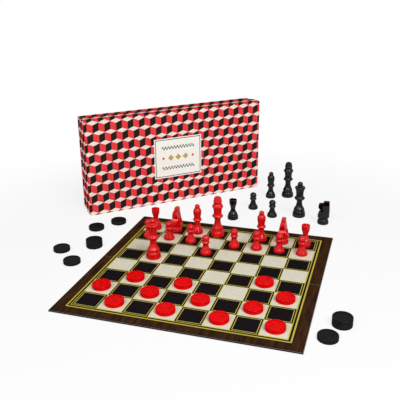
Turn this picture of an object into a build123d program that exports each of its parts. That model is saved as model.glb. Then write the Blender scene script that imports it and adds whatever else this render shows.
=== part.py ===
from build123d import *
import math
import os

os.makedirs("parts", exist_ok=True)

# A chess and checkers set laid out for play: a folding board, red and black turned men and
# draughts, and the lidded box that they are sold in, standing on its long edge behind the board.
# Millimetres. The origin is the board's centre on the table, X runs right along the front edge,
# Y runs away from the front player and Z is up.

# Folding board
BOARD_SIDE = 360.0
PANEL_THICK = 1.8  # chipboard core of each leaf
BACKING_THICK = 0.25  # grained paper under a leaf and up its edges
PRINT_THICK = 0.2  # printed sheet on top
PRINT_INSET = 0.6  # black edge that the printed sheet leaves bare
FOLD_GAP = 0.4  # slit between the two leaves
BORDER = 24.0  # from the board's edge to the squares
SQUARES = 8

HALF = BOARD_SIDE / 2
BOARD_TOP = BACKING_THICK + PANEL_THICK + PRINT_THICK
PITCH = (BOARD_SIDE - 2 * BORDER) / SQUARES

# Box: a lid pushed over a deeper tray
CARD_THICK = 1.5  # box board
LID_DEPTH = 28.0
BOX_DEPTH = 54.0  # lid's face to the back of the tray
SLIP_GAP = 0.5  # lid to tray, on each side
ROOM_ALONG = 8.0  # spare room for the folded board, along the box
ROOM_ACROSS = 2.0  # and across it
LABEL_WIDE = 102.5
LABEL_HIGH = 81.6
LABEL_THICK = 0.4

TRAY_LONG = BOARD_SIDE + ROOM_ALONG + 2 * CARD_THICK
TRAY_HIGH = HALF + ROOM_ACROSS + 2 * CARD_THICK
LID_LONG = TRAY_LONG + 2 * (SLIP_GAP + CARD_THICK)
LID_HIGH = TRAY_HIGH + 2 * (SLIP_GAP + CARD_THICK)

# Where the standing box's near lower corner is, from the board's rear left corner, and its turn
BOX_LEFT_OF_BOARD = 102.3
BOX_NEARER_THAN_REAR_EDGE = 22.4
BOX_TURN = 42.8

# Draughts
DRAUGHT_RADIUS = 14.25
DRAUGHT_THICK = 7.0
RIM_WIDE = 2.4
DISH_DEEP = 0.7
RING_RADIUS = 6.6
RING_WIDE = 1.8
RING_RISE = 0.4
EDGE_ROUND = 1.0
EDGE_BULGE = 0.3

# Widest radius of each man's foot, and how much narrower it is where it stands
KING_FOOT = 12.0
QUEEN_FOOT = 12.1
BISHOP_FOOT = 10.0
KNIGHT_FOOT = 10.4
ROOK_FOOT = 10.2
PAWN_FOOT = 9.5
UNDERCUT = 0.7

# Balls that end the queen, bishop and pawn, with the neck that each grows from
QUEEN_BALL = 5.1
QUEEN_BALL_NECK = 4.2
BISHOP_BALL = 4.6
BISHOP_BALL_NECK = 4.0
PAWN_BALL = 6.4
PAWN_BALL_NECK = 4.9

# King's cap
KING_CAP = 5.9
KING_CAP_RISE = 2.2

# Rook's cup
ROOK_RIM = 6.9
ROOK_CUP = 7.1  # widest part of the cup, under its rim
ROOK_WALL = 1.6
ROOK_DISH_DEEP = 1.8
NOTCH_WIDE = 1.3
NOTCH_DEEP = 0.9
NOTCHES = 4

# Knight's head, cut from a turned blank by flat cuts. Outward sizes are measured from the axis.
BLANK_RADIUS = 11.2
HEAD_START = 12.4  # height where the cuts begin
HEAD_HIGH = 44.4
EAR_BACK = 9.9  # back of the ear's top, behind the axis
BACK_HIGH = 24.0  # where the back starts to lean in
EAR_FRONT = 0.6
EAR_SLOPE = 0.6  # how far the ear's front leans back
BROW_HIGH = 40.6
NOSE_HIGH = 39.0
NOSE_OUT = 9.6
NOSE_ROUND = 0.8  # how far the nose bulges
JAW_HIGH = 30.6
THROAT_OUT = 4.4
THROAT_HIGH = 28.0
CHEST_OUT = 9.5
CHEST_HIGH = 20.5
EAR_HALF_WIDE = 3.2
CHEEK_HALF_WIDE = 3.9
CHEEK_HIGH = 36.0
NECK_HALF_WIDE = 6.2
NECK_HIGH = 25.0

# Men that lie in the tray
STORED_GAP = 0.6
PAWN_COLUMNS = 3
PAWN_ROWS = 2
STORED_DRAUGHTS = 3


def dome(radius, rise):
    """The last step of a turned outline: a round top, level on the axis."""
    sphere = (radius**2 + rise**2) / (2 * rise)
    half_chord = math.hypot(radius, rise) / 2
    return ("dome", rise, 0.0, sphere - math.sqrt(sphere**2 - half_chord**2))


def ball(neck, radius):
    """The last step of a turned outline: a ball of this radius on a neck."""
    return dome(neck, radius + math.sqrt(radius**2 - neck**2))


def turned(start_radius, steps, hollow=None):
    """Turns a solid about Z. Each step is its name, its rise, the radius that it ends at and how
    far its arc bulges out of the solid, or into it when negative. A hollow is the radius and
    depth of a recess under the foot."""
    points = [Vector(0, 0, 0)]
    if hollow:
        points = [Vector(0, 0, hollow[1]), Vector(hollow[0], 0, hollow[1]), Vector(hollow[0], 0, 0)]
    points.append(Vector(start_radius, 0, 0))
    edges = [Line(a, b) for a, b in zip(points, points[1:])]
    here = points[-1]
    for _, rise, radius, bulge in steps:
        there = Vector(radius, 0, here.Z + rise)
        along = there - here
        if bulge:
            out = Vector(along.Z, 0, -along.X).normalized()
            edges.append(ThreePointArc(here, (here + there) * 0.5 + out * bulge, there))
        else:
            edges.append(Line(here, there))
        here = there
    if here.X:
        edges.append(Line(here, Vector(0, 0, here.Z)))
    edges.append(Line(Vector(0, 0, here.Z), points[0]))
    return revolve(Face(Wire(edges)), Axis.Z, 360)


def top_of(steps):
    return sum(step[1] for step in steps)


KING_STEPS = [
    ("foot roll", 2.6, KING_FOOT, 0.5),
    ("base", 5.2, KING_FOOT - 0.6, 0.3),
    ("shoulder", 3.0, 9.2, 0.6),
    ("bead", 1.6, 9.5, 0.35),
    ("bell", 6.2, 8.2, 0.6),
    ("neck", 12.0, 5.4, -0.8),
    ("throat", 4.4, 6.8, -0.5),
    ("under collar", 2.2, 9.2, 0.1),
    ("collar", 2.2, 9.2, 0.6),
    ("over collar", 2.4, 7.4, -0.3),
    ("waist", 4.4, 7.0, -0.1),
    ("crown", 8.0, 8.5, -0.3),
    ("crown flare", 1.2, 9.4, 0.1),
    ("crown edge", 1.8, 9.4, 0.45),
    ("crown dome", 4.4, 6.9, 0.4),
    ("cap foot", 2.6, 7.5, -0.3),
    ("cap edge", 2.0, 7.3, 0.25),
    ("cap side", 6.8, KING_CAP, 0.15),
    dome(KING_CAP, KING_CAP_RISE),
]

QUEEN_STEPS = [
    ("foot roll", 2.6, QUEEN_FOOT, 0.5),
    ("base", 7.6, QUEEN_FOOT - 0.9, 0.3),
    ("base step", 1.2, 10.2, 0.25),
    ("groove", 1.8, 10.0, -0.3),
    ("bell edge", 3.4, 9.7, 0.35),
    ("neck", 13.4, 5.3, -1.3),
    ("throat", 3.8, 6.8, -0.5),
    ("under collar", 2.0, 9.2, 0.1),
    ("collar", 3.2, 9.2, 0.7),
    ("over collar", 2.2, 7.4, -0.3),
    ("waist", 6.6, 7.2, -0.4),
    ("crown", 8.6, 9.1, -0.5),
    ("crown edge", 4.0, 8.6, 1.0),
    ("crown dish", 1.8, QUEEN_BALL_NECK, -0.7),
    ball(QUEEN_BALL_NECK, QUEEN_BALL),
]

BISHOP_STEPS = [
    ("foot roll", 2.0, BISHOP_FOOT, 0.4),
    ("base", 3.8, BISHOP_FOOT - 0.6, 0.25),
    ("shoulder", 3.2, 7.6, 0.7),
    ("bead", 1.4, 7.8, 0.3),
    ("neck", 9.8, 4.9, -0.8),
    ("throat", 3.4, 6.0, -0.4),
    ("under collar", 1.6, 7.5, 0.1),
    ("collar", 2.2, 7.5, 0.5),
    ("over collar", 2.2, 6.2, -0.3),
    ("waist", 4.4, 6.3, -0.2),
    ("mitre", 8.6, 7.3, 0.3),
    ("mitre top", 6.2, BISHOP_BALL_NECK, 0.7),
    ball(BISHOP_BALL_NECK, BISHOP_BALL),
]

ROOK_STEPS = [
    ("foot roll", 2.2, ROOK_FOOT, 0.4),
    ("base", 5.6, ROOK_FOOT - 0.8, 0.3),
    ("base step", 1.0, 8.6, 0.15),
    ("bell", 4.2, 7.4, 0.5),
    ("neck", 8.6, 4.4, -0.8),
    ("cup", 8.0, 6.5, -0.3),
    ("cup wall", 8.2, ROOK_CUP, 0.3),
    ("rim", 1.8, ROOK_RIM, 0.2),
    ("rim top", 0.0, ROOK_RIM - ROOK_WALL, 0.0),
    ("dish wall", -ROOK_DISH_DEEP, ROOK_RIM - ROOK_WALL, 0.0),
]

PAWN_STEPS = [
    ("foot roll", 1.8, PAWN_FOOT, 0.35),
    ("base", 3.4, PAWN_FOOT - 0.6, 0.2),
    ("shoulder", 2.2, 7.4, 0.4),
    ("neck", 8.6, 4.6, -0.35),
    ("throat", 2.8, 5.4, -0.2),
    ("under collar", 1.4, 6.3, 0.1),
    ("collar", 2.0, 6.3, 0.45),
    ("over collar", 1.4, PAWN_BALL_NECK, -0.1),
    ball(PAWN_BALL_NECK, PAWN_BALL),
]

KNIGHT_STEPS = [
    ("foot roll", 2.2, KNIGHT_FOOT, 0.4),
    ("base", 4.2, KNIGHT_FOOT - 0.6, 0.3),
    ("shoulder", 2.4, 8.9, 0.3),
    ("waist", 3.2, 9.5, -0.6),
    ("body", 1.8, BLANK_RADIUS, 0.3),
    ("blank", HEAD_HIGH, BLANK_RADIUS, 0.0),
]


def king():
    return turned(KING_FOOT - UNDERCUT, KING_STEPS)


def queen():
    return turned(QUEEN_FOOT - UNDERCUT, QUEEN_STEPS)


def bishop():
    return turned(BISHOP_FOOT - UNDERCUT, BISHOP_STEPS)


def pawn():
    return turned(PAWN_FOOT - UNDERCUT, PAWN_STEPS)


def rook():
    """A turned cup with a dished top, and slots cut across its rim."""
    cup = turned(ROOK_FOOT - UNDERCUT, ROOK_STEPS)
    high = top_of(ROOK_STEPS) + ROOK_DISH_DEEP
    slot = Pos(0, 0, high) * Box(2 * ROOK_FOOT, NOTCH_WIDE, 2 * NOTCH_DEEP)
    for i in range(NOTCHES // 2):
        cup -= Rot(0, 0, 360 * i / NOTCHES) * slot
    return cup


def knight():
    """A turned blank, sawn to the side view of a horse's head and to a wedge seen from the front.
    It looks along +X."""
    far = 2 * BLANK_RADIUS
    nose = NOSE_OUT - NOSE_ROUND
    side = [
        Line((-far, 0, 0), (far, 0, 0)),
        Line((far, 0, 0), (far, 0, HEAD_START)),
        Line((far, 0, HEAD_START), (CHEST_OUT, 0, HEAD_START)),
        ThreePointArc((CHEST_OUT, 0, HEAD_START), (CHEST_OUT, 0, CHEST_HIGH), (THROAT_OUT, 0, THROAT_HIGH)),
        Line((THROAT_OUT, 0, THROAT_HIGH), (nose, 0, JAW_HIGH)),
        ThreePointArc((nose, 0, JAW_HIGH), (NOSE_OUT, 0, (JAW_HIGH + NOSE_HIGH) / 2), (nose, 0, NOSE_HIGH)),
        Line((nose, 0, NOSE_HIGH), (EAR_FRONT, 0, BROW_HIGH)),
        Line((EAR_FRONT, 0, BROW_HIGH), (EAR_FRONT - EAR_SLOPE, 0, HEAD_HIGH)),
        Line((EAR_FRONT - EAR_SLOPE, 0, HEAD_HIGH), (-EAR_BACK, 0, HEAD_HIGH)),
        Line((-EAR_BACK, 0, HEAD_HIGH), (-BLANK_RADIUS, 0, BACK_HIGH)),
        Line((-BLANK_RADIUS, 0, BACK_HIGH), (-far, 0, BACK_HIGH)),
        Line((-far, 0, BACK_HIGH), (-far, 0, 0)),
    ]
    half_front = [
        (far, 0),
        (far, HEAD_START),
        (BLANK_RADIUS, HEAD_START),
        (NECK_HALF_WIDE, NECK_HIGH),
        (CHEEK_HALF_WIDE, CHEEK_HIGH),
        (EAR_HALF_WIDE, HEAD_HIGH),
    ]
    outline = half_front + [(-y, z) for y, z in reversed(half_front)]
    front = Polyline([(0, y, z) for y, z in outline], close=True)
    saw_side = extrude(Face(Wire(side)), far, dir=(0, 1, 0), both=True)
    saw_front = extrude(Face(Wire(front.edges())), far, dir=(1, 0, 0), both=True)
    return turned(KNIGHT_FOOT - UNDERCUT, KNIGHT_STEPS) & saw_side & saw_front


def draught():
    """A flat disc with a raised rim and a raised ring in its dished top, and the same dish below."""
    dish = DRAUGHT_RADIUS - EDGE_ROUND - RIM_WIDE
    side = DRAUGHT_THICK - 2 * EDGE_ROUND
    steps = [
        ("lower edge", EDGE_ROUND, DRAUGHT_RADIUS, EDGE_BULGE),
        ("side", side, DRAUGHT_RADIUS, 0.0),
        ("upper edge", EDGE_ROUND, DRAUGHT_RADIUS - EDGE_ROUND, EDGE_BULGE),
        ("rim", 0.0, dish, 0.0),
        ("dish wall", -DISH_DEEP, dish, 0.0),
        ("dish", 0.0, RING_RADIUS + RING_WIDE / 2, 0.0),
        ("ring", 0.0, RING_RADIUS - RING_WIDE / 2, RING_RISE),
    ]
    return turned(DRAUGHT_RADIUS - EDGE_ROUND, steps, hollow=(dish, DISH_DEEP))


def save(name, *solids):
    export_step(Compound(children=[s for shape in solids for s in shape.solids()]), f"parts/{name}.step")


def slab(x, y, z):
    """A box between two limits along each axis."""
    return Pos((x[0] + x[1]) / 2, (y[0] + y[1]) / 2, (z[0] + z[1]) / 2) * Box(
        x[1] - x[0], y[1] - y[0], z[1] - z[0]
    )


def square(name):
    """Centre of a square such as d8 on top of the board."""
    column = "abcdefgh".index(name[0])
    row = int(name[1]) - 1
    middle = (SQUARES - 1) / 2
    return ((column - middle) * PITCH, (row - middle) * PITCH, BOARD_TOP)


def make_leaf(side, turn):
    """One half of the board, made as the rear one and turned about Z for the front one."""
    core_top = BACKING_THICK + PANEL_THICK
    edge = HALF - BACKING_THICK
    fold = FOLD_GAP / 2
    backing = [
        slab((-HALF, HALF), (fold, HALF), (0, BACKING_THICK)),
        slab((-HALF, -edge), (fold, HALF), (BACKING_THICK, core_top)),
        slab((edge, HALF), (fold, HALF), (BACKING_THICK, core_top)),
        slab((-edge, edge), (edge, HALF), (BACKING_THICK, core_top)),
    ]
    core = slab((-edge, edge), (fold, edge), (BACKING_THICK, core_top))
    inset = HALF - PRINT_INSET
    sheet = slab((-inset, inset), (fold, inset), (core_top, BOARD_TOP))
    save(f"board_backing_{side}", *[Rot(0, 0, turn) * s for s in backing])
    save(f"board_panel_{side}", Rot(0, 0, turn) * core)
    save(f"board_print_{side}", Rot(0, 0, turn) * sheet)


make_leaf("rear", 0)
make_leaf("front", 180)

# The box's own frame: along its length, then back from the lid's face, then up
BOX_PLACE = Location((-HALF - BOX_LEFT_OF_BOARD, HALF - BOX_NEARER_THAN_REAR_EDGE, 0), (0, 0, BOX_TURN))


def four_sides(long, high, near, far):
    """Four boards round a box of this outer length and height that stands with its corner at 0:
    the lower and upper ones run the full length, and the end ones stand between them."""
    return [
        slab((0, long), (near, far), (0, CARD_THICK)),
        slab((0, long), (near, far), (high - CARD_THICK, high)),
        slab((0, CARD_THICK), (near, far), (CARD_THICK, high - CARD_THICK)),
        slab((long - CARD_THICK, long), (near, far), (CARD_THICK, high - CARD_THICK)),
    ]


# Lid
save("lid_face_board", BOX_PLACE * slab((0, LID_LONG), (0, CARD_THICK), (0, LID_HIGH)))
save("lid_side_boards", *[BOX_PLACE * s for s in four_sides(LID_LONG, LID_HIGH, CARD_THICK, LID_DEPTH)])
label = slab(
    ((LID_LONG - LABEL_WIDE) / 2, (LID_LONG + LABEL_WIDE) / 2),
    (-LABEL_THICK, 0),
    ((LID_HIGH - LABEL_HIGH) / 2, (LID_HIGH + LABEL_HIGH) / 2),
)
save("lid_label_card", BOX_PLACE * label)

# Tray, resting inside the lid on the lid's lower board
TRAY_FRONT = CARD_THICK + SLIP_GAP
TRAY_FLOOR = BOX_DEPTH - CARD_THICK
TRAY_PLACE = BOX_PLACE * Pos(CARD_THICK + SLIP_GAP, 0, CARD_THICK)
save("tray_floor_board", TRAY_PLACE * slab((0, TRAY_LONG), (TRAY_FLOOR, BOX_DEPTH), (0, TRAY_HIGH)))
save("tray_side_boards", *[TRAY_PLACE * s for s in four_sides(TRAY_LONG, TRAY_HIGH, TRAY_FRONT, TRAY_FLOOR)])


def lean(wide_radius, wide_high, thin_radius, thin_high):
    """How far a man's axis dips when it lies on its widest ring and on a thinner one."""
    return math.degrees(math.atan2(wide_radius - thin_radius, thin_high - wide_high))


def laid(man, dip, along, back, spin=0):
    """Lays a man on the tray's lower board with its head along the box, its left end at along and
    its rear side against the tray's floor board, less back."""
    lying = Rot(0, 90 + dip, 0) * (Rot(0, 0, spin) * man)
    box = lying.bounding_box()
    seat = CARD_THICK + STORED_GAP / 4
    rear = TRAY_FLOOR - back - STORED_GAP
    return TRAY_PLACE * (Pos(along - box.min.X, rear - box.max.Y, seat - box.min.Z) * lying)


# Men and draughts that are kept in the tray
PAWN_HIGH = top_of(PAWN_STEPS)
PAWN_DIP = lean(PAWN_FOOT, PAWN_STEPS[0][1], PAWN_BALL, PAWN_HIGH - PAWN_BALL)
pawn_column = PAWN_HIGH + 2 * STORED_GAP
pawn_row = 2 * PAWN_FOOT + 2 * STORED_GAP
along = CARD_THICK + 4 * STORED_GAP
stored_pawns = [
    laid(pawn(), PAWN_DIP, along + column * pawn_column, row * pawn_row)
    for column in range(PAWN_COLUMNS)
    for row in range(PAWN_ROWS)
]
save("stored_black_pawns", *stored_pawns)
along += PAWN_COLUMNS * pawn_column
ROOK_DIP = lean(ROOK_FOOT, ROOK_STEPS[0][1], ROOK_RIM, top_of(ROOK_STEPS) + ROOK_DISH_DEEP)
KNIGHT_DIP = lean(BLANK_RADIUS, HEAD_START, EAR_HALF_WIDE, HEAD_HIGH)
save("stored_black_rook", laid(rook(), ROOK_DIP, along, 0))
save("stored_black_knight", laid(knight(), KNIGHT_DIP, along, 2 * ROOK_FOOT + 2 * STORED_GAP, spin=90))
along += max(HEAD_HIGH, top_of(ROOK_STEPS) + ROOK_DISH_DEEP) + 4 * STORED_GAP
BISHOP_HIGH = top_of(BISHOP_STEPS)
BISHOP_DIP = lean(BISHOP_FOOT, BISHOP_STEPS[0][1], BISHOP_BALL, BISHOP_HIGH - BISHOP_BALL)
save("stored_black_bishop", laid(bishop(), BISHOP_DIP, along, 0))
along += BISHOP_HIGH + 4 * STORED_GAP
stack_at = Pos(along + DRAUGHT_RADIUS, TRAY_FLOOR - DRAUGHT_RADIUS - STORED_GAP, CARD_THICK)
pile = [TRAY_PLACE * stack_at * Pos(0, 0, i * DRAUGHT_THICK) * draught() for i in range(STORED_DRAUGHTS)]
save("stored_black_draughts", *pile)

# Red men on the rear half of the board, looking towards the front player. Each is placed by hand:
# its square, then how far nearer the front player and how far right of the square's centre it is
FACING_FRONT = -90
red_men = [
    ("rook_a", rook, "a8", 4.8, 0.0),
    ("knight_b", knight, "b8", 4.5, 0.7),
    ("bishop_c", bishop, "c8", 2.9, 1.3),
    ("king", king, "d8", 4.0, 0.4),
    ("bishop_f", bishop, "f8", 1.6, 1.0),
    ("knight_g", knight, "g8", 1.5, 0.0),
    ("rook_h", rook, "h8", 4.5, 0.4),
    ("queen", queen, "b5", 0.9, 0.0),
    ("pawn_a", pawn, "a7", 4.6, 0.8),
    ("pawn_b", pawn, "b7", 2.3, 0.0),
    ("pawn_c", pawn, "c7", 4.4, 1.5),
    ("pawn_d", pawn, "d6", 2.5, 1.3),
    ("pawn_e", pawn, "e7", 2.6, 1.4),
    ("pawn_f", pawn, "f7", 0.6, 1.0),
    ("pawn_g", pawn, "g7", 0.0, 0.8),
    ("pawn_h", pawn, "h7", 0.0, 0.0),
]
for name, man, place, nearer, right in red_men:
    x, y, z = square(place)
    save(f"red_{name}", Pos(x + right, y - nearer, z) * (Rot(0, 0, FACING_FRONT) * man()))

# Red draughts on the front half
for name in ("b1", "d1", "f1", "h1", "a2", "c2", "e2", "g2", "b3", "d3", "h3", "g4"):
    save(f"red_draught_{name}", Pos(*square(name)) * draught())

# Black men on the table behind the board: X from its centre, then how far behind its rear edge
FACING_LEFT = 180
black_men = [
    ("rook", rook, -13.5, 41.0),
    ("pawn_1", pawn, 12.1, 103.4),
    ("bishop", bishop, 33.3, 175.6),
    ("king", king, 66.4, 190.6),
    ("pawn_2", pawn, 56.4, 72.8),
    ("queen", queen, 105.6, 89.2),
    ("knight", knight, 154.4, 66.2),
]
for name, man, x, behind in black_men:
    save(f"black_{name}", Pos(x, HALF + behind, 0) * (Rot(0, 0, FACING_LEFT) * man()))

# Black draughts on the table: how far from the board's edge, then Y, then how many are below it
left_draughts = [(80.5, 3.6, 0), (41.0, -33.8, 0), (63.8, 103.4, 0), (36.1, 141.0, 0)]
left_draughts += [(33.8, 33.9, 0), (33.8, 33.9, 1)]
right_draughts = [(40.4, -97.9, 0), (40.4, -97.9, 1), (25.5, -136.7, 0)]
black_draughts = [(-HALF - out, y, below) for out, y, below in left_draughts]
black_draughts += [(HALF + out, y, below) for out, y, below in right_draughts]
for number, (x, y, below) in enumerate(black_draughts, start=1):
    save(f"black_draught_{number}", Pos(x, y, below * DRAUGHT_THICK) * draught())
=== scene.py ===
"""Looks of a chess and checkers set: printed folding board, lacquered men and draughts, and the
patterned box that they come in. Metres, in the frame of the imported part."""

import math

import bpy
from mathutils import Matrix, Vector


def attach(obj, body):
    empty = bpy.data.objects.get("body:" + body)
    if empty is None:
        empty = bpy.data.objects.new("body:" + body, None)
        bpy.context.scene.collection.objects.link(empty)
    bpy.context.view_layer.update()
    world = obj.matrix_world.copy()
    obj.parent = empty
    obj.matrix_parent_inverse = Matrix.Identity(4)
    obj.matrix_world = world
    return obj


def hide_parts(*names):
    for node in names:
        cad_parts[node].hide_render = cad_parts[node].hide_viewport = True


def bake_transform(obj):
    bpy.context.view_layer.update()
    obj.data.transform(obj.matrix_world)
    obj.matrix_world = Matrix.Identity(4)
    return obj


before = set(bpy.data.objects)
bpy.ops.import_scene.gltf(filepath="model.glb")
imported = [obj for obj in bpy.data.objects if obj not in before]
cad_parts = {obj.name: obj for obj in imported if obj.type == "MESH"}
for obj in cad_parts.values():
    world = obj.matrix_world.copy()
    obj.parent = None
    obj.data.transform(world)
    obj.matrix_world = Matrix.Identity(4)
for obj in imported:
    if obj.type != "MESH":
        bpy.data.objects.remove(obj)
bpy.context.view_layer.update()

bl_info = {
    "name": "Chess and checkers set",
    "version": (1, 0, 0),
    "blender": (4, 2, 0),
    "location": "3D View > Sidebar > Game set",
    "description": "Builds the looks of a boxed chess and checkers set around its solid parts",
    "category": "Object",
}

MM = 0.001

# The board: the top of its print, the top of the core below that, and its squares
BOARD_HALF = 180 * MM
BOARD_TOP = 2.25 * MM
CORE_TOP = 2.05 * MM
PITCH = 39.0 * MM
HALF_SQUARES = 4
FOLD_HALF_GAP = 0.2 * MM

# The creased paper in the fold: its two faces' depth below the print's top, and its strips
CREASE_TOP_DOWN = 0.02 * MM
CREASE_UNDER_DOWN = 0.15 * MM
CREASE_STRIPS = 8

# Outer sizes of the box and its boards, and where its lid's lower left corner stands
LID_LONG = 375 * MM
LID_HIGH = 189 * MM
LID_DEPTH = 28 * MM
BOX_DEPTH = 54 * MM
CARD = 1.5 * MM
TRAY_INSET = 2 * MM
TRAY_LONG = 371 * MM
TRAY_HIGH = 185 * MM
BOX_CORNER = (-282.3 * MM, 157.6 * MM, 0)
BOX_TURN = math.radians(42.8)
BOX_PLACE = Matrix.Translation(BOX_CORNER) @ Matrix.Rotation(BOX_TURN, 4, "Z")

# The label, which lies on the lid's face, and its ornament. The lozenges' measures are in squares
# of the checked bands.
LABEL_LONG = 102.5 * MM
LABEL_HIGH = 81.6 * MM
LABEL_CARD = 0.38 * MM
LABEL_INK = 0.4 * MM
BAND_FROM_MIDDLE = 21 * MM
BAND_HALF_COUNT = 11
GOLD_STEP = 5
GOLD_HALF = 2
RED_FROM_MIDDLE = 10
RED_HALF = 1

# Roughness of the papers, and the faint gloss of bare card and of the floor
PRINT_ROUGHNESS = 0.42
GOLD_ROUGHNESS = 0.35
BARE_PAPER_ROUGHNESS = 0.6
CARD_ROUGHNESS = 0.85
FLOOR_ROUGHNESS = 0.9
FAINT_GLOSS = 0.1

# How far the colours go darker and paler over a surface, as factors
INK_WEAR = 0.06
LABEL_WEAR = 0.02
INK_LIFT = 0.002
WOOD_PALE = 1.35
CARD_DARK = 0.82
CARD_PALE = 1.15
LACQUER_DARK = 0.86
LACQUER_PALE = 1.08

# Fineness of the finishes' grain, and how strongly and how deep it stands out
MOTTLE = 240
PAPER_TOOTH = 1800
PAPER_TOOTH_STRENGTH = 0.12
PAPER_TOOTH_DEPTH = 0.02 * MM
CARD_TOOTH = 900
CARD_TOOTH_STRENGTH = 0.35
CARD_TOOTH_DEPTH = 0.06 * MM
BACKING_TOOTH = 1400
PRINTED_WOOD = 75
PRINTED_WOOD_STRETCH = (2.6, 0.35, 1)
PRINTED_WOOD_TURN = math.radians(-12)
PAINT_MOTTLE = 130
PAINT_STRETCH = (1, 1, 0.25)
TURNING_MARKS = 420
TURNING_STRENGTH = 0.1
TURNING_DEPTH = 0.05 * MM

# Marks closer than this count as one, and faces smaller than this are left out
SAME_MARK = 0.001 * MM
SLIVER = 0.001 * MM * MM

WHITE = (1, 1, 1)

# The soft lamps, what they look at, and the floor
KEY_PLACE = (1.0, -0.9, 1.5)
KEY_SIDE = 1.0
FILL_PLACE = (-0.5, -1.5, 1.3)
FILL_SIDE = 0.9
LAMP_AIM = (0, 0.05, 0)
FLOOR_RADIUS = 4.0
FLOOR_SIDES = 96

# The camera, where the photograph was taken from, with its right, its up and its back
CAMERA_LENS = 55.1
CAMERA_SENSOR = 36
CAMERA_PLACE = (0.25101, -0.83307, 0.45677)
CAMERA_RIGHT = (0.95511, 0.29613, -0.00792)
CAMERA_UP = (-0.09941, 0.34556, 0.93311)
CAMERA_BACK = (0.27906, -0.89044, 0.35949)


# Kinds of properties


def colour(name, about, value):
    return bpy.props.FloatVectorProperty(
        name=name, description=about, subtype="COLOR", size=3, min=0, max=1, default=value
    )


def length(name, about, value):
    return bpy.props.FloatProperty(
        name=name, description=about, unit="LENGTH", precision=5, min=0, default=value
    )


def share(name, about, value):
    return bpy.props.FloatProperty(
        name=name, description=about, subtype="FACTOR", min=0, max=1, default=value
    )


def lamp_power(name, about, value):
    return bpy.props.FloatProperty(name=name, description=about, unit="POWER", min=0, default=value)


class BoardLook(bpy.types.PropertyGroup):
    inset: length("Bare edge", "Black edge left bare round the print", 0.6 * MM)
    frame_out: length("Frame line from edge", "Board's edge to the thick gold line", 17.5 * MM)
    thick_line: length("Thick line", "Width of the frame's thick gold line", 2.2 * MM)
    line_gap: length("Line gap", "Dark gap between the frame's two lines", 3.0 * MM)
    thin_line: length("Thin line", "Width of the frame's thin gold line", 1.3 * MM)
    outline: length("Outline", "Width of a light square's yellow outline", 1.3 * MM)
    inner_from: length("Inner line from", "Dark square's edge to its pale inner line", 2.2 * MM)
    inner_line: length("Inner line", "Width of a dark square's pale inner line", 0.9 * MM)
    edge_line: length("Edge line", "Width of the dark line at the print's outer edge", 0.9 * MM)
    crease: length("Crease", "How far the print is worn pale on either side of the fold", 0.6 * MM)
    border: colour("Border", "Dark wood print of the border", (0.047, 0.019, 0.0075))
    streak: colour("Border streaks", "Darker streaks of the wood print", (0.020, 0.010, 0.006))
    rim: colour("Light outline", "Yellow outline of the light squares", (0.62, 0.60, 0.22))
    worn: colour("Worn crease", "Border's print where the fold has worn it", (0.085, 0.060, 0.045))
    gold: colour("Gold", "Printed gold lines of the frame", (0.53, 0.45, 0.062))
    pale_gold: colour("Pale gold", "Lines inside the dark squares", (0.66, 0.53, 0.10))
    dark: colour("Dark squares", "Black ink", (0.0095, 0.0070, 0.0085))
    light: colour("Light squares", "Cream ink", (0.68, 0.66, 0.53))
    crease_paper: colour("Crease paper", "Bare paper in the fold", (0.16, 0.12, 0.08))
    backing: colour("Backing", "Grained black paper under and round the leaves", (0.016, 0.015, 0.015))
    chipboard: colour("Chipboard", "Grey board inside the leaves", (0.36, 0.32, 0.27))


class BoxLook(bpy.types.PropertyGroup):
    block: length("Block width", "Width of one tumbling block of the pattern", 22.94 * MM)
    row: length("Row pitch", "Height from one row of blocks to the next", 19.98 * MM)
    tip: length("Tip", "Half the height of a block's cream top", 4.57 * MM)
    first_block: length("First block", "Left edge to the middle of the top row's first block", 15.3 * MM)
    first_row: length("First row", "Upper edge to the middle of the top row's cream tops", 5.7 * MM)
    red: colour("Red faces", "Left faces of the blocks", (0.77, 0.049, 0.056))
    black: colour("Black faces", "Right faces of the blocks", (0.019, 0.0145, 0.012))
    cream: colour("Cream faces", "Top faces of the blocks", (0.86, 0.71, 0.635))
    lining: colour("Lining", "Paper inside the box", (0.72, 0.70, 0.66))
    label: colour("Label", "Label card", (0.91, 0.88, 0.82))
    label_line: colour("Label line", "Frame line of the label", (0.070, 0.085, 0.072))
    label_margin: length("Label margin", "Label's edge to its frame line", 2.0 * MM)
    label_frame: length("Label frame", "Width of the label's frame line", 1.5 * MM)
    label_gold: colour("Label gold", "Lozenges in the middle of the label", (0.50, 0.38, 0.10))
    label_red: colour("Label red", "Small lozenges at the ends of the label's row", (0.62, 0.08, 0.07))
    check: length("Label check", "Side of one square of the label's checked bands", 3.2 * MM)


class LacquerLook(bpy.types.PropertyGroup):
    red: colour("Red lacquer", "Colour of the red men's lacquer", (0.66, 0.001, 0.003))
    black: colour("Black lacquer", "Colour of the black men's lacquer", (0.0006, 0.0005, 0.0006))
    red_draught: colour("Red draughts", "Colour of their lacquer", (0.74, 0.001, 0.002))
    black_draught: colour("Black draughts", "Colour of their lacquer", (0.0095, 0.0089, 0.0093))
    roughness: share("Roughness", "Roughness of the paint under the varnish", 0.32)
    gloss: share("Men's gloss", "Roughness of the men's varnish", 0.05)
    satin: share("Draughts' satin", "Roughness of the draughts' varnish", 0.2)
    varnish: share("Men's varnish", "Weight of the men's varnish", 0.3)
    thin_varnish: share("Draughts' varnish", "Weight of the draughts' varnish", 0.07)
    index: bpy.props.FloatProperty(
        name="Varnish index", description="Refractive index of the varnish", default=1.8, min=1, max=2
    )


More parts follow.
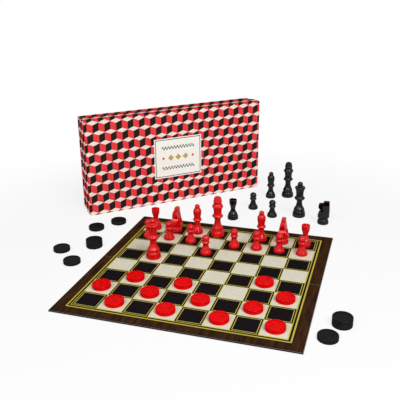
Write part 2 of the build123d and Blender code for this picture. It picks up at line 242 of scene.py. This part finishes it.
class StageLook(bpy.types.PropertyGroup):
    floor: colour("Floor", "Table that the set stands on", (0.85, 0.85, 0.85))
    white: share("Floor's white", "How far the floor at the set is as white as the surround", 0.8)
    fade_from: length("Fade from", "Distance from the middle at which the floor starts to fade", 0.32)
    fade_to: length("Fade to", "Distance at which the floor is as white as the surround", 0.8)
    key: lamp_power("Key lamp", "Power of the soft lamp at the right", 31)
    fill: lamp_power("Fill lamp", "Power of the weaker lamp at the left", 13)
    sky: share("Surround", "Light that comes from all round", 0.22)


# Materials


def material(name):
    """A new node material and its shader."""
    made = bpy.data.materials.new(name)
    made.use_nodes = True
    return made, made.node_tree.nodes["Principled BSDF"]


def node(made, kind, **values):
    """Adds a node, sets its properties by name and its inputs by socket name in sockets."""
    sockets = values.pop("sockets", {})
    added = made.node_tree.nodes.new(kind)
    for key, value in values.items():
        setattr(added, key, value)
    for key, value in sockets.items():
        added.inputs[key].default_value = value
    return added


def link(made, out, into):
    made.node_tree.links.new(out, into)


def rgba(rgb):
    return (*rgb, 1.0)


def noise(made, scale, stretch=(1, 1, 1), turn=0.0, detail=4.0):
    """Noise in the object's own coordinates."""
    place = node(made, "ShaderNodeTexCoord")
    lay = node(made, "ShaderNodeMapping", sockets={"Scale": stretch, "Rotation": (0, 0, turn)})
    grain = node(made, "ShaderNodeTexNoise", sockets={"Scale": scale, "Detail": detail})
    link(made, place.outputs["Object"], lay.inputs["Vector"])
    link(made, lay.outputs["Vector"], grain.inputs["Vector"])
    return grain.outputs["Fac"]


def shade(rgb, factor):
    """The colour made darker or lighter by a factor."""
    return [min(1.0, c * factor) for c in rgb]


def ramp(made, fac, first, last, low=0.3, high=0.7):
    """Colour from first to last as fac goes from low to high."""
    made_ramp = node(made, "ShaderNodeValToRGB")
    for stop, at, rgb in zip(made_ramp.color_ramp.elements, (low, high), (first, last)):
        stop.position = at
        stop.color = rgba(rgb)
    link(made, fac, made_ramp.inputs["Fac"])
    return made_ramp.outputs["Color"]


def bump(made, shader, fac, strength, depth):
    """Lets fac raise and dent the surface."""
    lift = node(made, "ShaderNodeBump", sockets={"Strength": strength, "Distance": depth})
    link(made, fac, lift.inputs["Height"])
    link(made, lift.outputs["Normal"], shader.inputs["Normal"])


def paper(made, shader, tint, roughness):
    """Matt printed paper with a fine tooth."""
    link(made, tint, shader.inputs["Base Color"])
    shader.inputs["Roughness"].default_value = roughness
    shader.inputs["Specular IOR Level"].default_value = 0.0
    bump(made, shader, noise(made, PAPER_TOOTH), PAPER_TOOTH_STRENGTH, PAPER_TOOTH_DEPTH)


def ink(name, rgb, roughness=PRINT_ROUGHNESS, wear=INK_WEAR):
    """Ink that lies very slightly uneven on the paper. Wear is how far it pales and darkens."""
    made, shader = material(name)
    pale = [min(1.0, c * (1 + wear) + INK_LIFT) for c in rgb]
    tint = ramp(made, noise(made, MOTTLE), shade(rgb, 1 - wear), pale)
    paper(made, shader, tint, roughness)
    return made


def wood_print(name, base, streak):
    """The border's printed wood: dark brown with darker streaks."""
    made, shader = material(name)
    fac = noise(made, PRINTED_WOOD, PRINTED_WOOD_STRETCH, PRINTED_WOOD_TURN, detail=6)
    paper(made, shader, ramp(made, fac, streak, shade(base, WOOD_PALE)), PRINT_ROUGHNESS)
    return made


def rough_card(name, rgb, tooth=CARD_TOOTH, roughness=CARD_ROUGHNESS):
    """Bare chipboard, backing paper or lining."""
    made, shader = material(name)
    fac = noise(made, tooth, detail=6)
    tint = ramp(made, fac, shade(rgb, CARD_DARK), shade(rgb, CARD_PALE), low=0.25, high=0.75)
    link(made, tint, shader.inputs["Base Color"])
    shader.inputs["Roughness"].default_value = roughness
    shader.inputs["Specular IOR Level"].default_value = FAINT_GLOSS
    bump(made, shader, fac, CARD_TOOTH_STRENGTH, CARD_TOOTH_DEPTH)
    return made


def lacquer(name, rgb, look, polish, varnish):
    """Paint under clear varnish on turned wood: a little uneven, with faint marks of the turning."""
    made, shader = material(name)
    fac = noise(made, PAINT_MOTTLE, PAINT_STRETCH)
    tint = ramp(made, fac, shade(rgb, LACQUER_DARK), shade(rgb, LACQUER_PALE))
    link(made, tint, shader.inputs["Base Color"])
    shader.inputs["Roughness"].default_value = look.roughness
    shader.inputs["Specular IOR Level"].default_value = 0.0
    shader.inputs["Coat Weight"].default_value = varnish
    shader.inputs["Coat IOR"].default_value = look.index
    shader.inputs["Coat Roughness"].default_value = polish
    bump(made, shader, noise(made, TURNING_MARKS), TURNING_STRENGTH, TURNING_DEPTH)
    return made


# Meshes


def piece(name, faces, materials, body, replaced=(), place=None):
    """A mesh of separate flat faces, each given as its corners and its material's number. It rides
    on body, unless that is None."""
    verts = []
    indices = []
    for corners, _ in faces:
        indices.append(range(len(verts), len(verts) + len(corners)))
        verts += [tuple(place @ Vector(c)) if place else tuple(c) for c in corners]
    mesh = bpy.data.meshes.new(name)
    mesh.from_pydata(verts, [], [list(i) for i in indices])
    for made in materials:
        mesh.materials.append(made)
    for polygon, (_, number) in zip(mesh.polygons, faces):
        polygon.material_index = number
    made_piece = bpy.data.objects.new(name, mesh)
    bpy.context.scene.collection.objects.link(made_piece)
    if body:
        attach(made_piece, body)
    if replaced:
        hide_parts(*replaced)
    return made_piece


def facing(corners, out):
    """The corners, turned round if needed so that the face looks along out."""
    a, b, c = (Vector(p) for p in corners[:3])
    return corners if (b - a).cross(c - a).dot(Vector(out)) > 0 else corners[::-1]


def rectangle(low, high):
    """The four corners between a lower and an upper one."""
    return [low, (high[0], low[1]), high, (low[0], high[1])]


def cells(across, along, pick):
    """Rectangles between the marks of two axes, with pick(x, y) giving each one's material."""
    made = []
    for x0, x1 in zip(across, across[1:]):
        for y0, y1 in zip(along, along[1:]):
            made.append((rectangle((x0, y0), (x1, y1)), pick((x0 + x1) / 2, (y0 + y1) / 2)))
    return made


def tidy_marks(values, low, high):
    """Sorted marks between low and high, both included, without doubles."""
    inside = sorted(v for v in values if low < v < high)
    kept = [low]
    for value in inside + [high]:
        if value - kept[-1] > SAME_MARK:
            kept.append(value)
    return kept


def print_marks(look):
    """Where the print changes colour, along either axis."""
    marks = []
    outer = BOARD_HALF - look.frame_out
    thin_from = look.thick_line + look.line_gap
    for step in (0, look.thick_line, thin_from, thin_from + look.thin_line):
        marks += [outer - step, step - outer]
    edge = BOARD_HALF - look.inset - look.edge_line
    crease = FOLD_HALF_GAP + look.crease
    marks += [edge, -edge, crease, -crease]
    for line in range(-HALF_SQUARES, HALF_SQUARES + 1):
        for off in (0, look.outline, look.inner_from, look.inner_from + look.inner_line):
            marks += [line * PITCH + off, line * PITCH - off]
    return marks


BORDER, GOLD, DARK, LIGHT, PALE_GOLD, WORN, RIM = range(7)


def print_colour(look, x, y):
    """Which ink the board has at this point."""
    out = max(abs(x), abs(y))
    lines_from = BOARD_HALF - look.frame_out
    if out > BOARD_HALF - look.inset - look.edge_line:
        return DARK
    if out > lines_from:
        return WORN if abs(y) < FOLD_HALF_GAP + look.crease else BORDER
    if out > HALF_SQUARES * PITCH:
        into = lines_from - out
        thin_from = look.thick_line + look.line_gap
        is_gold = into < look.thick_line or thin_from < into < thin_from + look.thin_line
        return GOLD if is_gold else DARK
    column, row = math.floor(x / PITCH), math.floor(y / PITCH)
    to_edge = min(x - column * PITCH, (column + 1) * PITCH - x, y - row * PITCH, (row + 1) * PITCH - y)
    if (column + row) % 2:
        return RIM if to_edge < look.outline else LIGHT
    return PALE_GOLD if look.inner_from < to_edge < look.inner_from + look.inner_line else DARK


def print_faces(look, y_from, y_to):
    """Top and edges of one leaf's printed sheet."""
    half = BOARD_HALF - look.inset
    marks = print_marks(look)
    across = tidy_marks(marks, -half, half)
    along = tidy_marks(marks, y_from, y_to)
    faces = []
    for corners, number in cells(across, along, lambda x, y: print_colour(look, x, y)):
        faces.append(([(x, y, BOARD_TOP) for x, y in corners], number))
    for x in (-half, half):
        side = [(x, y_from, CORE_TOP), (x, y_to, CORE_TOP), (x, y_to, BOARD_TOP), (x, y_from, BOARD_TOP)]
        faces.append((facing(side, (x, 0, 0)), DARK))
    for y, out in ((y_from, -1), (y_to, 1)):
        side = [(-half, y, CORE_TOP), (half, y, CORE_TOP), (half, y, BOARD_TOP), (-half, y, BOARD_TOP)]
        faces.append((facing(side, (0, out, 0)), DARK))
    return faces


def clip(polygon, low, high):
    """The part of a flat polygon inside a rectangle."""
    for axis in (0, 1):
        for limit, sign in ((low[axis], 1), (high[axis], -1)):
            kept = []
            for here, there in zip(polygon, polygon[1:] + polygon[:1]):
                a, b = sign * (here[axis] - limit), sign * (there[axis] - limit)
                if a >= 0:
                    kept.append(here)
                if a * b < 0:
                    t = a / (a - b)
                    kept.append(tuple(p + t * (q - p) for p, q in zip(here, there)))
            polygon = kept
            if len(polygon) < 3:
                return []
    return polygon


def area(polygon):
    """Area of a flat polygon."""
    turns = zip(polygon, polygon[1:] + polygon[:1])
    return abs(sum(a[0] * b[1] - b[0] * a[1] for a, b in turns)) / 2


RED, BLACK, CREAM, LINING = range(4)


def tumbling_blocks(look, low, high):
    """The blocks' faces inside a rectangle of the wrap, which is measured from the lid's lower
    left corner, unfolded."""
    half = look.block / 2
    wall = look.row - look.tip
    first_row = LID_HIGH - look.first_row
    faces = []
    from_row = math.floor((first_row - high[1]) / look.row) - 1
    to_row = math.ceil((first_row - low[1]) / look.row) + 2
    for row in range(from_row, to_row):
        y = first_row - row * look.row
        shift = look.first_block + half * (row % 2)
        from_column = math.floor((low[0] - shift) / look.block) - 1
        to_column = math.ceil((high[0] - shift) / look.block) + 2
        for column in range(from_column, to_column):
            x = shift + column * look.block
            left, right, tip, near = (x - half, y), (x + half, y), (x, y + look.tip), (x, y - look.tip)
            foot = (x, near[1] - wall)
            for corners, number in (
                ([near, right, tip, left], CREAM),
                ([near, left, (left[0], y - wall), foot], RED),
                ([near, foot, (right[0], y - wall), right], BLACK),
            ):
                kept = clip(corners, low, high)
                if kept and area(kept) > SLIVER:
                    faces.append((kept, number))
    return faces


def board_faces(look, low, high, wrapped):
    """A box board between two corners in the box's own frame: along, back from the lid's face,
    up. The sides named in wrapped have the pattern, and the rest the lining paper. Each side has
    its way out, how it folds out of the flat wrap, and its lower and upper corner there. The wrap
    runs over the front, the right and the back, where it ends."""
    (x0, y0, z0), (x1, y1, z1) = low, high
    wrap_end = 2 * LID_LONG + BOX_DEPTH
    sides = {
        "front": ((0, -1, 0), lambda a, b: (a, y0, b), (x0, z0), (x1, z1)),
        "back": ((0, 1, 0), lambda a, b: (wrap_end - a, y1, b), (wrap_end - x1, z0), (wrap_end - x0, z1)),
        "left": ((-1, 0, 0), lambda a, b: (x0, -a, b), (-y1, z0), (-y0, z1)),
        "right": ((1, 0, 0), lambda a, b: (x1, a - LID_LONG, b), (LID_LONG + y0, z0), (LID_LONG + y1, z1)),
        "top": ((0, 0, 1), lambda a, b: (a, b - LID_HIGH, z1), (x0, LID_HIGH + y0), (x1, LID_HIGH + y1)),
        "bottom": ((0, 0, -1), lambda a, b: (a, -b, z0), (x0, -y1), (x1, -y0)),
    }
    faces = []
    for name, (out, fold, first, last) in sides.items():
        if name in wrapped:
            flat = tumbling_blocks(look, first, last)
        else:
            flat = [(rectangle(first, last), LINING)]
        for corners, number in flat:
            faces.append((facing([fold(a, b) for a, b in corners], out), number))
    return faces


def side_boards(look, corner, long, high, near, far):
    """The four boards round the lid or the tray."""
    x0, z0 = corner
    x1, z1 = x0 + long, z0 + high
    return (
        board_faces(look, (x0, near, z0), (x1, far, z0 + CARD), {"bottom", "left", "right"})
        + board_faces(look, (x0, near, z1 - CARD), (x1, far, z1), {"top", "left", "right"})
        + board_faces(look, (x0, near, z0 + CARD), (x0 + CARD, far, z1 - CARD), {"left"})
        + board_faces(look, (x1 - CARD, near, z0 + CARD), (x1, far, z1 - CARD), {"right"})
    )


def box_inks(look):
    """The box's inks and its lining, which the lid makes and the tray takes over."""
    return [
        bpy.data.materials.get("BoxRed") or ink("BoxRed", look.red),
        bpy.data.materials.get("BoxBlack") or ink("BoxBlack", look.black),
        bpy.data.materials.get("BoxCream") or ink("BoxCream", look.cream),
        bpy.data.materials.get("BoxLining") or rough_card("BoxLining", look.lining),
    ]


def paint(names, made):
    """Gives CAD nodes a material."""
    for name in names:
        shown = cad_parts[name]
        shown.data.materials.clear()
        shown.data.materials.append(made)


def nodes_named(start, besides=()):
    """CAD nodes whose names start so, besides those that start with one of the others."""
    return [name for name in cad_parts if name.startswith(start) and not name.startswith(besides)]


# Operators, one for each piece or group


class GAMESET_OT_board_print(bpy.types.Operator):
    """Print the squares, the gold lines and the wood border on both leaves"""

    bl_idname = "gameset.board_print"
    bl_label = "Board print"

    def execute(self, context):
        look = context.scene.gameset_board
        inks = [
            wood_print("BorderPrint", look.border, look.streak),
            ink("GoldLine", look.gold, GOLD_ROUGHNESS),
            ink("DarkSquare", look.dark),
            ink("LightSquare", look.light),
            ink("PaleGoldLine", look.pale_gold),
            ink("WornBorder", look.worn),
            ink("LightOutline", look.rim),
        ]
        far = BOARD_HALF - look.inset
        for side, y_from, y_to in (("rear", FOLD_HALF_GAP, far), ("front", -far, -FOLD_HALF_GAP)):
            name = f"board_print_{side}"
            faces = print_faces(look, y_from, y_to)
            piece(f"Print_{side}", faces, inks, f"board_{side}", [name])
        return {"FINISHED"}


class GAMESET_OT_board_core(bpy.types.Operator):
    """Give the leaves their grained backing paper and chipboard"""

    bl_idname = "gameset.board_core"
    bl_label = "Board core"

    def execute(self, context):
        look = context.scene.gameset_board
        backing = rough_card("Backing", look.backing, BACKING_TOOTH, BARE_PAPER_ROUGHNESS)
        paint(nodes_named("board_backing"), backing)
        paint(nodes_named("board_panel"), rough_card("Chipboard", look.chipboard))
        return {"FINISHED"}


class GAMESET_OT_crease(bpy.types.Operator):
    """Join the two leaves with the creased paper of the fold"""

    bl_idname = "gameset.crease"
    bl_label = "Fold crease"

    def execute(self, context):
        look = context.scene.gameset_board
        half = BOARD_HALF - look.inset
        marks = [FOLD_HALF_GAP * (2 * i / CREASE_STRIPS - 1) for i in range(CREASE_STRIPS + 1)]
        top, under = BOARD_TOP - CREASE_TOP_DOWN, BOARD_TOP - CREASE_UNDER_DOWN
        faces = []
        for y0, y1 in zip(marks, marks[1:]):
            strip = rectangle((-half, y0), (half, y1))
            faces.append(([(x, y, top) for x, y in strip], 0))
            faces.append(([(x, y, under) for x, y in reversed(strip)], 0))
        made = [ink("CreasePaper", look.crease_paper, BARE_PAPER_ROUGHNESS)]
        crease = piece("FoldCrease", faces, made, None)
        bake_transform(crease)
        return {"FINISHED"}


class GAMESET_OT_lid(bpy.types.Operator):
    """Wrap the lid in the tumbling block pattern"""

    bl_idname = "gameset.lid"
    bl_label = "Lid"

    def execute(self, context):
        look = context.scene.gameset_box
        inks = box_inks(look)
        wrapped = {"front", "left", "right", "top", "bottom"}
        face = board_faces(look, (0, 0, 0), (LID_LONG, CARD, LID_HIGH), wrapped)
        piece("LidFace", face, inks, "box_lid", ["lid_face_board"], BOX_PLACE)
        sides = side_boards(look, (0, 0), LID_LONG, LID_HIGH, CARD, LID_DEPTH)
        piece("LidSides", sides, inks, "box_lid", ["lid_side_boards"], BOX_PLACE)
        return {"FINISHED"}


class GAMESET_OT_tray(bpy.types.Operator):
    """Wrap the tray in the same pattern"""

    bl_idname = "gameset.tray"
    bl_label = "Tray"

    def execute(self, context):
        look = context.scene.gameset_box
        inks = box_inks(look)
        corner = (TRAY_INSET, CARD)
        low = (corner[0], BOX_DEPTH - CARD, corner[1])
        high = (corner[0] + TRAY_LONG, BOX_DEPTH, corner[1] + TRAY_HIGH)
        wrapped = {"back", "left", "right", "top", "bottom"}
        floor = board_faces(look, low, high, wrapped)
        piece("TrayFloor", floor, inks, "box_tray", ["tray_floor_board"], BOX_PLACE)
        sides = side_boards(look, corner, TRAY_LONG, TRAY_HIGH, TRAY_INSET, BOX_DEPTH - CARD)
        piece("TraySides", sides, inks, "box_tray", ["tray_side_boards"], BOX_PLACE)
        return {"FINISHED"}


LABEL_BARE, LABEL_LINE, LABEL_GOLD, LABEL_RED = range(4)


def on_lid(corners, out):
    """Places flat corners on the lid's face, raised by out."""
    return [(x, -out, z) for x, z in corners]


def lozenge(x, z, half):
    """An inked square that stands on its corner."""
    return on_lid([(x - half, z), (x, z - half), (x + half, z), (x, z + half)], LABEL_INK)


class GAMESET_OT_label(bpy.types.Operator):
    """Give the label its thin frame line and a plain ornament"""

    bl_idname = "gameset.label"
    bl_label = "Label"

    def execute(self, context):
        look = context.scene.gameset_box
        x0, x1 = (LID_LONG - LABEL_LONG) / 2, (LID_LONG + LABEL_LONG) / 2
        z0, z1 = (LID_HIGH - LABEL_HIGH) / 2, (LID_HIGH + LABEL_HIGH) / 2
        line_from = look.label_margin
        line_to = line_from + look.label_frame
        across = tidy_marks([x0 + line_from, x0 + line_to, x1 - line_to, x1 - line_from], x0, x1)
        up = tidy_marks([z0 + line_from, z0 + line_to, z1 - line_to, z1 - line_from], z0, z1)

        def is_line(x, z):
            inside = min(x - x0, x1 - x, z - z0, z1 - z)
            return LABEL_LINE if line_from < inside < line_to else LABEL_BARE

        faces = []
        for corners, number in cells(across, up, is_line):
            faces.append((facing(on_lid(corners, LABEL_CARD), (0, -1, 0)), number))
        for x, out in ((x0, -1), (x1, 1)):
            side = [(x, -LABEL_CARD, z0), (x, 0, z0), (x, 0, z1), (x, -LABEL_CARD, z1)]
            faces.append((facing(side, (out, 0, 0)), LABEL_BARE))
        for z, out in ((z0, -1), (z1, 1)):
            side = [(x0, -LABEL_CARD, z), (x0, 0, z), (x1, 0, z), (x1, -LABEL_CARD, z)]
            faces.append((facing(side, (0, 0, out)), LABEL_BARE))
        faces += self.ornament(look, (x0 + x1) / 2, (z0 + z1) / 2)
        inks = [
            ink("LabelCard", look.label, wear=LABEL_WEAR),
            ink("LabelLine", look.label_line),
            ink("LabelGold", look.label_gold),
            ink("LabelRed", look.label_red),
        ]
        piece("Label", faces, inks, "box_lid", ["lid_label_card"], BOX_PLACE)
        return {"FINISHED"}

    def ornament(self, look, x, z):
        """Two checked bands with a row of gold lozenges between them, and a red one at each end."""
        faces = []
        check = look.check
        for band in (-1, 1):
            low = z + band * BAND_FROM_MIDDLE - check
            for column in range(-BAND_HALF_COUNT, BAND_HALF_COUNT):
                a, b = x + column * check, low + check * (column % 2)
                square = rectangle((a, b), (a + check, b + check))
                faces.append((on_lid(square, LABEL_INK), LABEL_LINE))
        for step in (-1, 0, 1):
            faces.append((lozenge(x + step * GOLD_STEP * check, z, GOLD_HALF * check), LABEL_GOLD))
        for end in (-1, 1):
            faces.append((lozenge(x + end * RED_FROM_MIDDLE * check, z, RED_HALF * check), LABEL_RED))
        return faces


class GAMESET_OT_lacquer(bpy.types.Operator):
    """Paint and varnish the turned men and draughts"""

    bl_idname = "gameset.lacquer"
    bl_label = "Lacquer"

    def execute(self, context):
        look = context.scene.gameset_lacquer
        red_men = nodes_named("red_", "red_draught")
        black_men = nodes_named("black_", "black_draught") + nodes_named("stored_", "stored_black_draught")
        red_draughts = nodes_named("red_draught")
        black_draughts = nodes_named("black_draught") + nodes_named("stored_black_draught")
        glossy = look.gloss, look.varnish
        satin = look.satin, look.thin_varnish
        paint(red_men, lacquer("RedMen", look.red, look, *glossy))
        paint(black_men, lacquer("BlackMen", look.black, look, *glossy))
        paint(red_draughts, lacquer("RedDraughts", look.red_draught, look, *satin))
        paint(black_draughts, lacquer("BlackDraughts", look.black_draught, look, *satin))
        return {"FINISHED"}


class GAMESET_OT_stage(bpy.types.Operator):
    """Set the pale floor, the soft lamps and the surround"""

    bl_idname = "gameset.stage"
    bl_label = "Stage"

    def execute(self, context):
        look = context.scene.gameset_stage
        scene = context.scene
        scene.view_settings.view_transform = "Standard"
        self.make_floor(look)
        self.make_surround(scene, look)
        self.make_lamp("KeyLamp", KEY_PLACE, KEY_SIDE, look.key)
        self.make_lamp("FillLamp", FILL_PLACE, FILL_SIDE, look.fill)
        return {"FINISHED"}

    def make_floor(self, look):
        """A pale disc that fades into the white surround where it is seen. Near the set it is only
        partly as white as that, so it keeps the shadows."""
        turns = [math.tau * side / FLOOR_SIDES for side in range(FLOOR_SIDES)]
        rim = [(FLOOR_RADIUS * math.cos(turn), FLOOR_RADIUS * math.sin(turn), 0) for turn in turns]
        mesh = bpy.data.meshes.new("Floor")
        mesh.from_pydata(rim, [], [list(range(FLOOR_SIDES))])
        floor = bpy.data.objects.new("Floor", mesh)
        bpy.context.scene.collection.objects.link(floor)
        made, shader = material("FloorPaper")
        shader.inputs["Base Color"].default_value = rgba(look.floor)
        shader.inputs["Roughness"].default_value = FLOOR_ROUGHNESS
        shader.inputs["Specular IOR Level"].default_value = FAINT_GLOSS
        place = node(made, "ShaderNodeNewGeometry")
        far = node(made, "ShaderNodeVectorMath", operation="LENGTH")
        distances = {"From Min": look.fade_from, "From Max": look.fade_to, "To Min": look.white}
        fade = node(made, "ShaderNodeMapRange", interpolation_type="SMOOTHSTEP", sockets=distances)
        seen = node(made, "ShaderNodeMath", operation="MULTIPLY")
        white = node(made, "ShaderNodeEmission", sockets={"Color": rgba(WHITE), "Strength": 1.0})
        mix = node(made, "ShaderNodeMixShader")
        link(made, place.outputs["Position"], far.inputs[0])
        link(made, far.outputs["Value"], fade.inputs["Value"])
        link(made, fade.outputs["Result"], seen.inputs[0])
        link(made, background_rays(made), seen.inputs[1])
        link(made, seen.outputs["Value"], mix.inputs["Fac"])
        link(made, shader.outputs["BSDF"], mix.inputs[1])
        link(made, white.outputs["Emission"], mix.inputs[2])
        link(made, mix.outputs["Shader"], made.node_tree.nodes["Material Output"].inputs["Surface"])
        mesh.materials.append(made)

    def make_surround(self, scene, look):
        """White where it is seen, and an even light for everything else."""
        world = bpy.data.worlds.new("Surround")
        world.use_nodes = True
        scene.world = world
        back = world.node_tree.nodes["Background"]
        back.inputs["Color"].default_value = rgba(WHITE)
        strength = node(world, "ShaderNodeMapRange", sockets={"To Min": look.sky, "To Max": 1.0})
        link(world, background_rays(world), strength.inputs["Value"])
        link(world, strength.outputs["Result"], back.inputs["Strength"])

    def make_lamp(self, name, place, side, watts):
        """A soft square lamp that looks at the set."""
        lamp = bpy.data.lights.new(name, "AREA")
        lamp.size = side
        lamp.energy = watts
        made = bpy.data.objects.new(name, lamp)
        made.location = place
        made.rotation_euler = (Vector(LAMP_AIM) - Vector(place)).to_track_quat("-Z", "Y").to_euler()
        bpy.context.scene.collection.objects.link(made)


def background_rays(made):
    """1 for rays from the camera, from gloss and through glass, which see the white, else 0."""
    rays = node(made, "ShaderNodeLightPath").outputs
    seen = rays["Is Camera Ray"]
    for kind in ("Is Glossy Ray", "Is Transmission Ray"):
        either = node(made, "ShaderNodeMath", operation="MAXIMUM")
        link(made, seen, either.inputs[0])
        link(made, rays[kind], either.inputs[1])
        seen = either.outputs["Value"]
    return seen


class GAMESET_PT_panel(bpy.types.Panel):
    """Lists the steps that dress the set"""

    bl_idname = "GAMESET_PT_panel"
    bl_label = "Game set"
    bl_space_type = "VIEW_3D"
    bl_region_type = "UI"
    bl_category = "Game set"

    def draw(self, context):
        for made in STEPS:
            self.layout.operator(made.bl_idname)


STEPS = (
    GAMESET_OT_board_print,
    GAMESET_OT_board_core,
    GAMESET_OT_crease,
    GAMESET_OT_lid,
    GAMESET_OT_tray,
    GAMESET_OT_label,
    GAMESET_OT_lacquer,
    GAMESET_OT_stage,
)
LOOKS = {
    "gameset_board": BoardLook,
    "gameset_box": BoxLook,
    "gameset_lacquer": LacquerLook,
    "gameset_stage": StageLook,
}
CLASSES = (*LOOKS.values(), *STEPS, GAMESET_PT_panel)


def register():
    for made in CLASSES:
        bpy.utils.register_class(made)
    for name, group in LOOKS.items():
        setattr(bpy.types.Scene, name, bpy.props.PointerProperty(type=group))


def unregister():
    for name in LOOKS:
        delattr(bpy.types.Scene, name)
    for made in reversed(CLASSES):
        bpy.utils.unregister_class(made)


def make_camera():
    """Stands where the photograph was taken from."""
    data = bpy.data.cameras.new("Camera")
    data.lens = CAMERA_LENS
    data.sensor_width = CAMERA_SENSOR
    camera = bpy.data.objects.new("Camera", data)
    turn = Matrix((CAMERA_RIGHT, CAMERA_UP, CAMERA_BACK)).transposed().to_4x4()
    camera.matrix_world = Matrix.Translation(CAMERA_PLACE) @ turn
    bpy.context.scene.collection.objects.link(camera)
    bpy.context.scene.camera = camera


def main():
    register()
    make_camera()
    bpy.ops.gameset.board_print()
    bpy.ops.gameset.board_core()
    bpy.ops.gameset.crease()
    bpy.ops.gameset.lid()
    bpy.ops.gameset.tray()
    bpy.ops.gameset.label()
    bpy.ops.gameset.lacquer()
    bpy.ops.gameset.stage()


if __name__ == "__main__":
    main()
